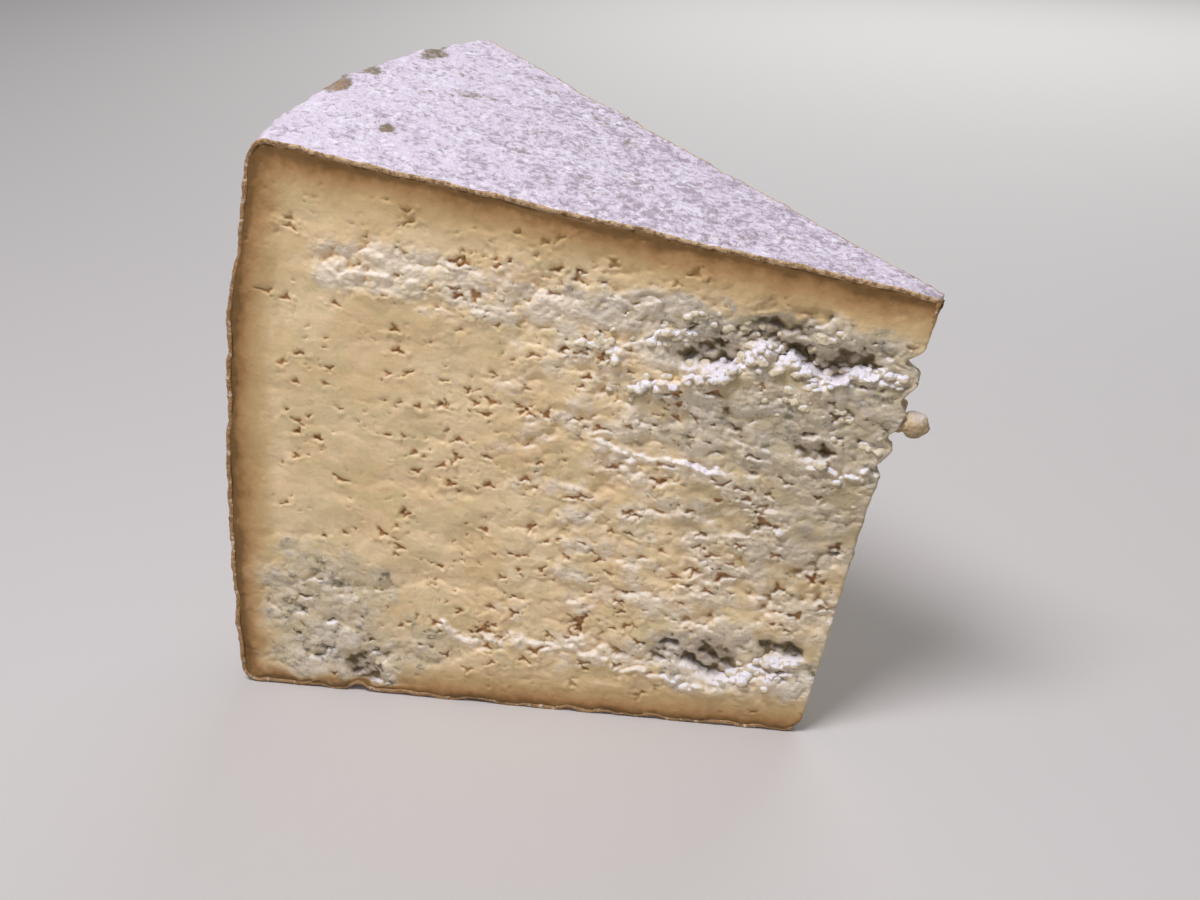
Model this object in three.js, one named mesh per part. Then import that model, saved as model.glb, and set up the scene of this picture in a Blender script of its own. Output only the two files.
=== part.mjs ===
// A wedge cut from a wheel of natural-rind blue cheese, standing on the wheel's lower face.
//
// Axes: +X runs along the front cut from the rind to the nose, +Y goes back through the wedge and +Z is up.
// The front cut is upright. The knife leaned over for the back cut, so the wedge is undercut: its nose leans
// out and its foot is narrower than its top. The wheel sank in the middle and spread a little at the foot.
// The solid is a box with a fine grid on it, whose six sides become the nose, the rind, the two cuts, the
// top and the base. A point of the box is given by three shares from 0 to 1:
//   out     0 at the nose, 1 at the rind
//   across  0 at the front cut, 1 at the back cut
//   up      0 at the base, 1 at the top
import * as THREE from "three";
import { mergeVertices } from "three/addons/utils/BufferGeometryUtils.js";

// Sizes in millimetres, angles in degrees
const rimHeight = 115; // height at the rind's front corner
const rimRise = 3.9; // how much higher the rind stands at its highest
const rimRiseShare = 0.68; // where that is, as a share of the way from the front cut to the back cut
const noseHeight = 91.5; // height at the nose, where the wheel sank
const noseFoot = 103.2; // nose's x at the base; the rind's top front corner is at x = 0
const noseTop = 125; // nose's x at the top
const noseHollow = 0.8; // how far the nose's line curves in halfway up
const noseWidth = 2.4; // blunt thickness of the nose
const wedgeAngle = 34.9; // between the two cuts, seen from above
const wheelCentre = new THREE.Vector2(128, 5); // middle of the wheel, seen from above
const wheelRadius = wheelCentre.length(); // at the top, so that the rind passes through x = 0, y = 0
const footSpread = 11.4; // how much further out the rind stands at the base
const spreadPower = 3; // the rind stands nearly upright low down and leans in towards the top
const shoulderRadius = 2.8; // round edge between rind and top
const heelRadius = 4; // round edge between rind and base
const noseHeelRadius = 3.5; // round edge between nose and base
const rimLip = 0.8; // the rind's lip just under the top
const rimLipDrop = 5; // from the top to the lip
const rimLipSpan = 3; // half-height of the lip

// The slow unevenness of the whole surface, and the crumbly paste near the nose
const waveDepth = 0.7;
const waveLength = 17;
const crumbDepth = 1.7;
const crumbLength = 6.5;
const crumbHeight = 70; // middle of the crumbly stretch of the nose
const crumbSpan = 12;
const crumbReach = 12; // how far the crumbly stretch goes in from the nose
const floorClearance = 5; // unevenness fades out over this height, so that the base stays flat

// Hollows in the front cut where blue mould opened the paste: place, half-widths and depth
const hollows = [
  { x: 84, z: 79, halfX: 16, halfZ: 4.5, depth: 2.4 },
  { x: 108, z: 77, halfX: 9, halfZ: 4, depth: 2.2 },
  { x: 88, z: 15.5, halfX: 9, halfZ: 4.5, depth: 2.2 },
];
const cutSkin = 1; // points this close behind the front cut still take part in its hollows

// Grid steps along each side of the box
const stepsOut = 30;
const stepsAcross = 13;
const stepsUp = 26;
const edgeShare = 0.6; // how strongly the grid crowds towards its ends, from 0 to 1

// Constants of a sine hash, which gives each lattice point its own number
const hashStep = new THREE.Vector4(127.1, 311.7, 74.7, 53.3);
const hashScale = 43758.5453;

const pasteColour = 0xd6bf8e;
const pasteRoughness = 0.62;

const { lerp, smoothstep, clamp, degToRad } = THREE.MathUtils;

// Spreads a share from 0 to 1 so that steps are finer near both ends.
function crowdEnds(share) {
  const eased = (1 - Math.cos(Math.PI * share)) / 2;
  return lerp(share, eased, edgeShare);
}

// A repeatable number from -1 to 1 for a point of a whole-number lattice.
function latticeValue(i, j, k, seed) {
  const mixed = Math.sin(new THREE.Vector4(i, j, k, seed).dot(hashStep)) * hashScale;
  return 2 * (mixed - Math.floor(mixed)) - 1;
}

// Smooth noise from -1 to 1 whose bumps are about one unit wide.
function smoothNoise(point, seed) {
  const corner = point.clone().floor();
  const fade = point.clone().sub(corner).toArray().map((f) => f * f * (3 - 2 * f));
  let sum = 0;
  for (let side = 0; side < 8; side++) {
    const step = [side & 1, (side >> 1) & 1, side >> 2];
    const weight = step.reduce((product, s, axis) => product * (s ? fade[axis] : 1 - fade[axis]), 1);
    sum += weight * latticeValue(corner.x + step[0], corner.y + step[1], corner.z + step[2], seed);
  }
  return sum;
}

// An uneven shift at a point, up to the given depth along each axis.
function unevenness(point, depth, length) {
  const scaled = point.clone().divideScalar(length);
  const shift = new THREE.Vector3(smoothNoise(scaled, 1), smoothNoise(scaled, 2), smoothNoise(scaled, 3));
  return shift.multiplyScalar(depth);
}

function noseX(z) {
  const share = z / noseHeight;
  return lerp(noseFoot, noseTop, share) - noseHollow * 4 * share * (1 - share);
}

// Height of the top: it falls from the rind to the nose, and the rind stands highest towards the back.
function topHeightAt(out, across) {
  const fromHighest = (across - rimRiseShare) / rimRiseShare;
  return lerp(noseHeight, rimHeight + rimRise * (1 - fromHighest ** 2), out);
}

// Radius of the rind's curve at height z: it spreads towards the base and has a lip under the top.
function rindRadiusAt(z) {
  const spread = footSpread * (1 - (z / rimHeight) ** spreadPower);
  const lip = rimLip * Math.exp(-(((z - rimHeight + rimLipDrop) / rimLipSpan) ** 2));
  return wheelRadius + spread + lip;
}

// Angle about the wheel's centre where the rind's curve meets the line from start along direction.
function angleWhereRindMeets(start, direction, radius) {
  const fromCentre = start.clone().sub(wheelCentre);
  const along = fromCentre.dot(direction);
  const reach = -along + Math.sqrt(along * along - fromCentre.lengthSq() + radius * radius);
  const met = fromCentre.addScaledVector(direction, reach);
  return Math.atan2(met.y, -met.x); // measured from -X towards +Y
}

// A point of the wedge seen from above, at height z.
function planPoint(out, across, z) {
  const radius = rindRadiusAt(z);
  const backDirection = new THREE.Vector2(-Math.cos(degToRad(wedgeAngle)), Math.sin(degToRad(wedgeAngle)));
  const frontNose = new THREE.Vector2(noseX(z), 0);
  const backNose = new THREE.Vector2(noseX(z), noseWidth);
  const frontAngle = angleWhereRindMeets(frontNose, new THREE.Vector2(-1, 0), radius);
  const backAngle = angleWhereRindMeets(backNose, backDirection, radius);
  const angle = lerp(frontAngle, backAngle, across);
  const outwards = new THREE.Vector2(-Math.cos(angle), Math.sin(angle));
  const rindPoint = wheelCentre.clone().addScaledVector(outwards, radius);
  return frontNose.lerp(backNose, across).lerp(rindPoint, out);
}

// Rounds a section's square edge at (0, 0); inwards and rise are a point's distances from its two sides.
function roundedEdge(inwards, rise, radius) {
  if (inwards >= radius || rise >= radius) return [inwards, rise];
  const away = new THREE.Vector2(inwards - radius, rise - radius);
  away.setLength(Math.max(-away.x, -away.y)); // squares about the round's centre become circles
  return [radius + away.x, radius + away.y];
}

// Where the box's point goes before any unevenness.
function smoothPoint(out, across, up) {
  const topHeight = topHeightAt(out, across);
  const length = noseX(up * topHeight);
  let fromRind = (1 - out) * length;
  let z = up * topHeight;
  [fromRind, z] = roundedEdge(fromRind, z, heelRadius);
  let drop = topHeight - z;
  [fromRind, drop] = roundedEdge(fromRind, drop, shoulderRadius);
  let fromNose = length - fromRind;
  z = topHeight - drop;
  [fromNose, z] = roundedEdge(fromNose, z, noseHeelRadius);
  const plan = planPoint(clamp(fromNose / length, 0, 1), across, z);
  return new THREE.Vector3(plan.x, plan.y, z);
}

// How much of the crumbly unevenness a point gets: all at the nose's broken stretch, none well away from it.
function crumbShare(point) {
  const level = Math.exp(-(((point.z - crumbHeight) / crumbSpan) ** 2));
  const inFromNose = noseX(point.z) - point.x;
  return level * (1 - smoothstep(inFromNose, 0, crumbReach));
}

// Depth of the front cut's hollows at a point that lies behind the cut by point.y.
function hollowDepth(point) {
  const nearCut = 1 - smoothstep(point.y, 0, cutSkin);
  return hollows.reduce((depth, hollow) => {
    const offset = Math.hypot((point.x - hollow.x) / hollow.halfX, (point.z - hollow.z) / hollow.halfZ);
    return depth + hollow.depth * nearCut * (1 - smoothstep(offset, 0, 1));
  }, 0);
}

function wedgePoint(out, across, up) {
  const point = smoothPoint(out, across, up);
  const loose = smoothstep(point.z, 0, floorClearance);
  const moved = unevenness(point, waveDepth * loose, waveLength);
  moved.add(unevenness(point, crumbDepth * crumbShare(point), crumbLength));
  moved.y += hollowDepth(point);
  return point.add(moved);
}

// The wedge's closed surface: a gridded box whose corners are shared, with every point moved into place.
function wedgeGeometry() {
  const box = new THREE.BoxGeometry(1, 1, 1, stepsOut, stepsAcross, stepsUp);
  box.deleteAttribute("normal");
  box.deleteAttribute("uv");
  const geometry = mergeVertices(box);
  const position = geometry.getAttribute("position");
  for (let i = 0; i < position.count; i++) {
    const out = crowdEnds(0.5 - position.getX(i)); // the box runs from -0.5 to 0.5, its +X side at the nose
    const across = 0.5 + position.getY(i);
    const up = crowdEnds(0.5 + position.getZ(i));
    const point = wedgePoint(out, across, up);
    position.setXYZ(i, point.x, point.y, point.z);
  }
  geometry.computeBoundingBox();
  const middle = geometry.boundingBox.getCenter(new THREE.Vector3());
  geometry.translate(-middle.x, -middle.y, -geometry.boundingBox.min.z); // origin: middle of the base
  geometry.computeVertexNormals();
  return geometry;
}

const paste = new THREE.MeshStandardMaterial({ color: pasteColour, roughness: pasteRoughness, metalness: 0 });
const wedge = new THREE.Mesh(wedgeGeometry(), paste);
wedge.name = "cheese_wedge";

const cheese = new THREE.Group();
cheese.add(wedge);

export default cheese;
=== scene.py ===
# A tall wedge of natural-rind blue cheese, standing on the wheel's flat lower face.
# Lengths are in millimetres until a mesh is made. Local axes: x runs along the front cut from the rind to the
# nose, y goes back through the wedge, z is up, and the rind's top front corner stands at x = 0, y = 0.
import math
import bmesh
import bpy
import numpy as np
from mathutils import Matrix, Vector


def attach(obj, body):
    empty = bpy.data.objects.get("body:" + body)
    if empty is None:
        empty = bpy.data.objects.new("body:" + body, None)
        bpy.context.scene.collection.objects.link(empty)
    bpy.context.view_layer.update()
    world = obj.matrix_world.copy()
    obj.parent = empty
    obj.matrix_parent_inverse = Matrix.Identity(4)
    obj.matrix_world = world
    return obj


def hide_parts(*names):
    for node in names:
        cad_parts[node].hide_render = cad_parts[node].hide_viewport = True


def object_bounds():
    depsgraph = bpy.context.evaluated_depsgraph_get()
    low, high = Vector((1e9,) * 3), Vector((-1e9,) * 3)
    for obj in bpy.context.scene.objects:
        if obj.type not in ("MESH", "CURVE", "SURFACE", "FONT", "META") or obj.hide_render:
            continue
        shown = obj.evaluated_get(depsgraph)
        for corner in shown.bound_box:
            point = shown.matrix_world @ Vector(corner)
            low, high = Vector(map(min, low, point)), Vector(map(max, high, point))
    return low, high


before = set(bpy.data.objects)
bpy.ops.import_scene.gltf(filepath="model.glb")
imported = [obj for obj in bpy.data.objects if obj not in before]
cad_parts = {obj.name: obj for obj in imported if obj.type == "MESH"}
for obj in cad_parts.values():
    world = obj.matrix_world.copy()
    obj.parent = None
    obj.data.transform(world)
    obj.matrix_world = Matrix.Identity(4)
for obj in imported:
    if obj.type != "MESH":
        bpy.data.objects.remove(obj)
cadLow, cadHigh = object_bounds()
print("frame loaded")

wedge = {
    "rimHeight": 115.0,  # height at the rind's front corner
    "rimRise": 3.9,  # how much higher the rind stands at its highest
    "rimRiseShare": 0.68,  # where that is, from the front cut to the back cut
    "noseHeight": 91.5,
    "noseFoot": 103.2,
    "noseTop": 125.0,
    "noseHollow": 0.8,
    "noseWidth": 2.4,
    "wedgeAngle": math.radians(34.9),
    "wheelCentre": (128.0, 5.0),
    "footSpread": 11.4,
    "spreadPower": 3,
    "shoulderRadius": 2.8,
    "heelRadius": 4.0,
    "noseHeelRadius": 3.5,
    "rimLip": 0.8,
    "rimLipDrop": 5.0,
    "rimLipSpan": 3.0,
    "rindFoot": 11.85,  # how far the rind's foot reaches past the top corner
    "cutWander": 0.7,  # how far the front cut wanders out past its plane
}
# the corner's place in the frame
corner = np.array([cadLow.x * 1000 + wedge["rindFoot"], cadLow.y * 1000 + wedge["cutWander"], 0.0])
wheelRadius = math.hypot(*wedge["wheelCentre"])
backLean = np.array([math.sin(wedge["wedgeAngle"]), math.cos(wedge["wedgeAngle"])])  # out of the back cut


# small sums shared by everything

def smooth(start, end, value):
    share = np.clip((value - start) / (end - start), 0, 1)
    return share * share * (3 - 2 * share)


def bell(value, middle, halfWidth):
    return np.exp(-(((value - middle) / halfWidth) ** 2))


def scatter(i, j, k, seed):
    # one random number from 0 to 1 for each lattice point
    mixed = (i * 73856093) ^ (j * 19349663) ^ (k * 83492791) ^ (seed * 297121507)
    mixed = mixed & 0xFFFFFFFF
    mixed = ((mixed ^ (mixed >> 13)) * 1274126177) & 0xFFFFFFFF
    mixed = ((mixed ^ (mixed >> 15)) * 668265263) & 0xFFFFFFFF
    return ((mixed ^ (mixed >> 16)) & 0xFFFF) / 65535.0


leans = np.array(
    [(1, 1, 0), (-1, 1, 0), (1, -1, 0), (-1, -1, 0), (1, 0, 1), (-1, 0, 1)]
    + [(1, 0, -1), (-1, 0, -1), (0, 1, 1), (0, -1, 1), (0, 1, -1), (0, -1, -1)],
    dtype=float,
)


def noise(x, y, z, seed):
    # smooth gradient noise, about -1 to 1, with bumps about one unit wide
    x, y, z = np.broadcast_arrays(x, y, z)
    cell = [np.floor(v).astype(np.int64) for v in (x, y, z)]
    part = [v - c for v, c in zip((x, y, z), cell)]
    fade = [f * f * f * (f * (f * 6 - 15) + 10) for f in part]
    total = np.zeros(x.shape)
    for step in np.ndindex(2, 2, 2):
        pick = scatter(cell[0] + step[0], cell[1] + step[1], cell[2] + step[2], seed)
        lean = leans[(pick * 11.999).astype(int)]
        slope = sum(lean[..., a] * (part[a] - step[a]) for a in range(3))
        weight = 1.0
        for a in range(3):
            weight = weight * (fade[a] if step[a] else 1 - fade[a])
        total += weight * slope
    return total


def layered(x, y, z, seed, layers=3, fall=0.5):
    total, size, strength = 0.0, 1.0, 1.0
    for layer in range(layers):
        total = total + strength * noise(x * size, y * size, z * size, seed + layer)
        size *= 2.03
        strength *= fall
    return total


# the wedge's smooth form

def noseX(z):
    share = z / wedge["noseHeight"]
    straight = wedge["noseFoot"] + (wedge["noseTop"] - wedge["noseFoot"]) * share
    return straight - wedge["noseHollow"] * 4 * share * (1 - share)


def topHeightAt(out, across):
    fromHighest = (across - wedge["rimRiseShare"]) / wedge["rimRiseShare"]
    rim = wedge["rimHeight"] + wedge["rimRise"] * (1 - fromHighest**2)
    return wedge["noseHeight"] + (rim - wedge["noseHeight"]) * out


def rindRadiusAt(z):
    spread = wedge["footSpread"] * (1 - (z / wedge["rimHeight"]) ** wedge["spreadPower"])
    lip = wedge["rimLip"] * bell(z, wedge["rimHeight"] - wedge["rimLipDrop"], wedge["rimLipSpan"])
    return wheelRadius + spread + lip


def angleWhereRindMeets(startX, startY, alongX, alongY, radius):
    x, y = startX - wedge["wheelCentre"][0], startY - wedge["wheelCentre"][1]
    along = x * alongX + y * alongY
    reach = -along + np.sqrt(along**2 - x**2 - y**2 + radius**2)
    return np.arctan2(y + reach * alongY, -(x + reach * alongX))


def planPoint(out, across, z):
    radius = rindRadiusAt(z)
    nose = noseX(z)
    width = wedge["noseWidth"]
    front = angleWhereRindMeets(nose, 0.0, -1.0, 0.0, radius)
    back = angleWhereRindMeets(nose, width, -backLean[1], backLean[0], radius)
    angle = front + (back - front) * across
    rindX = wedge["wheelCentre"][0] - np.cos(angle) * radius
    rindY = wedge["wheelCentre"][1] + np.sin(angle) * radius
    return nose + (rindX - nose) * out, width * across * (1 - out) + rindY * out


def roundedEdge(inwards, rise, radius):
    a, b = inwards - radius, rise - radius
    inside = (a < 0) & (b < 0)
    shrink = np.where(inside, np.maximum(-a, -b) / np.maximum(np.hypot(a, b), 1e-9), 1.0)
    return radius + a * shrink, radius + b * shrink


def smoothForm(out, across, up):
    # three shares from 0 to 1: out from nose to rind, across from front cut to back cut, up from base to top
    topHeight = topHeightAt(out, across)
    z = up * topHeight
    length = noseX(z)
    fromRind, z = roundedEdge((1 - out) * length, z, wedge["heelRadius"])
    fromRind, drop = roundedEdge(fromRind, topHeight - z, wedge["shoulderRadius"])
    fromNose, z = roundedEdge(length - fromRind, topHeight - drop, wedge["noseHeelRadius"])
    x, y = planPoint(np.clip(fromNose / length, 0, 1), across, z)
    return np.stack([x, y, z], -1)


def behindBackCut(x, y, z):
    # how deep a point lies behind the back cut
    return -((x - noseX(z)) * backLean[0] + (y - wedge["noseWidth"]) * backLean[1])


def alongBackCut(x, y, z):
    # place along the back cut, counted like x on the front cut
    inwards = (noseX(z) - x) * backLean[1] + (y - wedge["noseWidth"]) * backLean[0]
    return noseX(z) - inwards


def onBackCut(a, z, out):
    # the point of the back cut at a place along it, and out from it
    inwards = noseX(z) - a
    x = noseX(z) - inwards * backLean[1] + out * backLean[0]
    y = wedge["noseWidth"] + inwards * backLean[0] + out * backLean[1]
    return np.stack([x, y, z + 0 * x], -1)


# relief of a cut face, on a fine sheet: a runs from the rind to the nose, z up
sheet = {"step": 0.2, "a": (-18.0, 131.0), "z": (-4.0, 124.0), "lean": 0.3}


def sheetPoints():
    a = np.arange(sheet["a"][0], sheet["a"][1], sheet["step"])
    z = np.arange(sheet["z"][0], sheet["z"][1], sheet["step"])
    return np.meshgrid(a, z)


def onSheet(values, a, z):
    # the sheet's value at scattered places
    column = np.clip((a - sheet["a"][0]) / sheet["step"], 0, values.shape[1] - 1.001)
    row = np.clip((z - sheet["z"][0]) / sheet["step"], 0, values.shape[0] - 1.001)
    i, j = row.astype(int), column.astype(int)
    fi, fj = row - i, column - j
    low = values[i, j] * (1 - fj) + values[i, j + 1] * fj
    high = values[i + 1, j] * (1 - fj) + values[i + 1, j + 1] * fj
    return low * (1 - fi) + high * fi


def atPlace(values, a, z):
    return float(onSheet(values, np.array([a]), np.array([z]))[0])


def sheetWindow(a, z, reach):
    # the rows and columns of the sheet that lie within reach of a place
    rows = [(z + way - sheet["z"][0]) / sheet["step"] for way in (-reach, reach)]
    columns = [(a + way - sheet["a"][0]) / sheet["step"] for way in (-reach, reach)]
    return slice(max(int(rows[0]), 0), int(rows[1]) + 2), slice(max(int(columns[0]), 0), int(columns[1]) + 2)


def blurred(values, width):
    # gaussian blur, width in millimetres
    rows = np.fft.fftfreq(values.shape[0], sheet["step"])[:, None]
    columns = np.fft.rfftfreq(values.shape[1], sheet["step"])[None, :]
    keep = np.exp(-2 * (math.pi * width) ** 2 * (rows**2 + columns**2))
    return np.fft.irfft2(np.fft.rfft2(values) * keep, values.shape)


def lineHeight(points, a):
    return np.interp(a, [p[0] for p in points], [p[1] for p in points])


def nearLine(points, a, z, halfWidth, taper):
    # 1 on the line, 0 beyond its half-width and past its ends
    start, end = points[0][0], points[-1][0]
    ends = smooth(start - taper, start, a) * smooth(end + taper, end, a)
    return ends * smooth(halfWidth, halfWidth * 0.35, np.abs(z - lineHeight(points, a)))


def blobs(spots, a, z):
    # soft patches: place, half-widths and strength
    total = np.zeros(a.shape)
    for x, height, halfX, halfZ, strength in spots:
        away = np.hypot((a - x) / halfX, (z - height) / halfZ)
        total = np.maximum(total, strength * smooth(1.25, 0.45, away))
    return total


def lumps(a, z, wide, tall, seed, flatness, lean):
    # overlapping lumps of curd, flat-topped or round: the height of the topmost one (-1 in the gaps between
    # them, up to about 1) and that lump's own number
    u, v = a / wide, z / tall
    base = [np.floor(u).astype(np.int64), np.floor(v).astype(np.int64)]
    height = np.full(a.shape, -1.0)
    own = np.zeros(a.shape)
    for di in (-1, 0, 1):
        for dj in (-1, 0, 1):
            i, j = base[0] + di, base[1] + dj
            pick = [scatter(i, j, 0 * i, seed + n) for n in range(5)]
            du, dv = u - i - pick[0], v - j - pick[1]
            cosine, sine = np.cos(pick[2] * math.pi), np.sin(pick[2] * math.pi)
            long = (du * cosine + dv * sine) / (0.6 + 0.38 * pick[3])
            short = (dv * cosine - du * sine) / (0.45 + 0.3 * pick[4])
            away = long * long + short * short
            lump = 0.75 * pick[4] + lean * dv - away ** (flatness / 2)
            higher = lump > height
            height = np.where(higher, lump, height)
            own = np.where(higher, pick[3], own)
    return height, own


frontCut = {
    "seed": 11,
    "roughFrom": 12.0,  # the paste gets rougher from here to the nose
    "roughTo": 92.0,
    "greyFrom": 56.0,
    "greyTo": 110.0,
    "crumbBand": [(12, 92), (25, 91), (34, 90), (45, 86.5), (56, 83.5), (67, 81), (82, 78)],
    # ledges: points, how far they stand out, and how thick the curd grains lie on them
    "ledges": [
        ([(70, 71), (80, 73.9), (87, 75.6), (91.7, 79), (94.4, 80.6), (98.5, 78.9), (102.5, 76)], 2.6, 1.0),
        ([(103, 74.3), (110.6, 76.8), (113, 76.6), (119, 76.5)], 2.2, 1.0),
        ([(67, 78), (71, 80.5), (74.5, 82.1), (82, 81.6)], 1.1, 0.2),
        ([(60, 79), (64, 78.5), (68, 79.5)], 0.9, 0.3),
        ([(63, 60), (69, 57.6), (75, 56.9), (86, 55)], 1.6, 0.0),
        ([(32, 17.5), (37, 14.3), (43.4, 16.2), (51, 15.7), (58, 14.9), (64, 13.3), (70, 10.5)], 1.3, 0.0),
        ([(70, 10.5), (75, 11.1), (80, 9.1), (85.4, 7.3), (89, 11.4), (93.6, 11.4), (99, 12.4)], 1.2, 0.1),
        ([(92, 13.3), (95, 15.4), (100.8, 15.2)], 1.5, 0.3),
        ([(104, 58), (109, 57), (114, 57.5)], 1.3, 0.15),
        ([(88, 42.5), (95, 43), (99, 44)], 1.0, 0.1),
        ([(14, 91), (19, 89.3), (26, 90), (31, 88.6)], 0.9, 0.0),
        ([(30, 84.5), (36, 83), (42, 84)], 0.9, 0.0),
    ],
    "hollows": [
        (84, 79, 8, 3.2, 2.6),
        (95, 83.5, 9, 3.0, 2.0),
        (100, 79.5, 5, 3.0, 2.6),
        (108, 78.5, 7, 3.4, 2.6),
        (102, 86.5, 4, 2.0, 1.0),
        (85.5, 14.6, 7.0, 4.4, 3.3),
        (99, 18.3, 5.5, 2.4, 2.0),
        (77.5, 16.0, 5.0, 3.2, 1.7),
        (104, 60.5, 3.5, 1.8, 1.2),
        (14, 5.0, 4.2, 4.6, 1.9),
    ],
    "mould": [
        (86, 81, 17, 7, 1.0),
        (106, 80, 15, 8, 1.0),
        (112, 66, 11, 14, 0.62),
        (91, 63, 22, 11, 0.55),
        (84, 14.5, 11, 6.5, 1.0),
        (100, 15, 9, 6.0, 0.8),
        (7, 21, 18, 15, 0.6),
        (9, 8, 19, 9, 0.75),
        (14, 5, 6, 4, 1.0),
        (9, 11, 6, 6, 0.95),
        (28, 12, 11, 6, 0.5),
        (72, 86, 14, 5, 0.7),
        (60, 88, 8, 4, 0.5),
        (104, 45, 12, 12, 0.35),
    ],
    # the largest pits: place, half-width, half-height and tilt in degrees
    "pits": [
        (5.5, 100.1, 1.5, 0.8, -10), (28, 102.3, 1.1, 0.9, 40), (38.4, 93.2, 1.3, 1.2, 0),
        (53.5, 98, 0.8, 0.8, 0), (66.2, 94.4, 1.2, 0.9, 0), (80.9, 93.6, 1.6, 1.0, 10),
        (40.3, 86.9, 1.0, 2.2, 10), (54.7, 88.4, 1.4, 0.7, 0), (25, 75.3, 1.2, 0.9, 0),
        (24.6, 79.5, 1.1, 1.1, 0), (56.5, 77.2, 1.0, 0.8, 0), (64.7, 76.6, 1.3, 1.2, 0),
        (4.5, 59.3, 1.5, 0.7, -35), (8.3, 56, 0.9, 1.0, 0), (12.5, 47.6, 2.2, 0.7, -25),
        (48.6, 65.5, 1.6, 0.6, -18), (53.5, 64.4, 0.9, 1.3, 0), (59.6, 63.6, 0.9, 0.7, -30),
        (32.6, 52.2, 1.6, 0.6, 25), (24.9, 42, 0.9, 0.8, 0), (58.4, 47.4, 2.6, 0.5, -8),
        (40, 16.8, 2.3, 1.4, 15), (59.4, 20.6, 1.6, 2.4, -25), (94.9, 45.2, 2.4, 1.5, -20),
        (83.3, 41.7, 1.6, 0.8, 0), (104.4, 34.2, 1.6, 1.0, -15), (98.1, 31.5, 1.5, 1.5, 20),
        (105.8, 60.3, 1.7, 1.0, 0), (108.8, 41.4, 1.5, 1.1, 0), (87.3, 33.3, 1.8, 1.4, 20),
        (101.7, 26.2, 1.8, 1.0, 10), (66, 54.5, 1.4, 0.8, 10), (44, 29, 1.0, 0.7, 0),
    ],
    "pitCount": 350,
    "speckCount": 1450,
    # heaps of grains: place, half-widths and how many
    "heaps": [
        (64.5, 78.5, 3.0, 3.2, 20), (105.6, 82.3, 3.0, 1.8, 16), (91, 83.6, 5.0, 1.4, 12),
        (114, 61, 3, 3, 8), (108, 66, 5, 3, 6), (78, 82, 5, 1.8, 14), (82, 86, 4, 1.2, 6),
        (91.5, 78.3, 3.6, 2.2, 22), (97.5, 77.8, 3.4, 1.8, 14), (85, 75, 4.5, 1.6, 14),
        (111, 76.2, 6, 1.4, 18), (71, 72, 4, 2, 6), (99, 71, 6, 2.5, 8),
        (97, 15.2, 3.6, 1.3, 16), (93, 11.6, 4, 1.2, 9),
    ],
    "looseGrains": 30,
}

backCut = {
    "seed": 57,
    "roughFrom": 20.0,
    "roughTo": 88.0,
    "greyFrom": 55.0,
    "greyTo": 110.0,
    "crumbBand": [(20, 70), (32, 73), (46, 71), (60, 74), (74, 76)],
    "ledges": [
        ([(78, 68), (86, 70.5), (93, 72), (99, 74.5), (106, 73)], 2.2, 1.0),
        ([(100, 61), (106, 62.5), (113, 62)], 1.6, 0.8),
        ([(50, 60), (57, 58), (66, 58.5), (73, 56.5)], 1.1, 0.0),
        ([(26, 20), (34, 17.5), (45, 18.5), (56, 15.5), (68, 14)], 1.3, 0.3),
        ([(72, 24), (80, 22.5), (88, 25)], 1.5, 0.6),
        ([(86, 40), (93, 41.5), (101, 40.5)], 1.1, 0.2),
        ([(22, 69), (29, 70.5), (36, 69.5)], 1.0, 0.3),
    ],
    "hollows": [
        (88, 74, 9, 3.2, 2.4),
        (101, 77, 6, 3.0, 2.2),
        (107, 66, 5, 2.4, 1.6),
        (79, 27, 6, 2.8, 2.0),
        (36, 22, 5, 2.4, 1.4),
    ],
    "mould": [
        (92, 74, 19, 8, 1.0),
        (106, 64, 12, 10, 0.8),
        (80, 27, 13, 7, 0.9),
        (34, 20, 13, 8, 0.8),
        (10, 62, 10, 9, 0.45),
        (96, 42, 16, 9, 0.4),
        (60, 70, 14, 6, 0.4),
    ],
    "pits": [
        (14, 84, 1.6, 0.8, 10), (30, 94, 1.2, 0.9, -20), (47, 90, 1.0, 1.1, 0),
        (62, 88, 1.4, 0.8, 15), (22, 52, 1.8, 0.8, -20), (40, 46, 1.5, 1.0, 10),
        (56, 38, 2.2, 0.8, -12), (70, 44, 1.3, 1.0, 0), (82, 55, 1.8, 1.2, 15),
        (18, 34, 1.4, 0.9, 30), (48, 28, 2.0, 1.2, -10), (97, 54, 1.6, 1.1, 0),
        (92, 33, 1.5, 1.2, -15), (64, 64, 1.2, 0.8, 0), (34, 62, 1.1, 1.3, 0),
    ],
    "pitCount": 420,
    "speckCount": 1700,
    "heaps": [(96, 77, 5, 2, 20), (84, 72, 5, 2, 16), (83, 27, 4, 2, 12), (98, 44, 6, 3, 8)],
    "looseGrains": 40,
}


pitShape = {
    # which count of the cut, from and to which half-width, and how deep
    "kinds": [("pitCount", (0.5, 1.15), 1.0), ("speckCount", (0.2, 0.5), 0.7)],
    "length": (1.0, 1.8),
    "flatness": (0.4, 1.0),
    "tilt": (-4, 24),  # mean and spread in degrees
    "shrink": (0.85, 0.8),  # share of the half-width and of the half-height that is dug
    "ragged": 0.7,
    "noseGap": 0.6,
}


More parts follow.
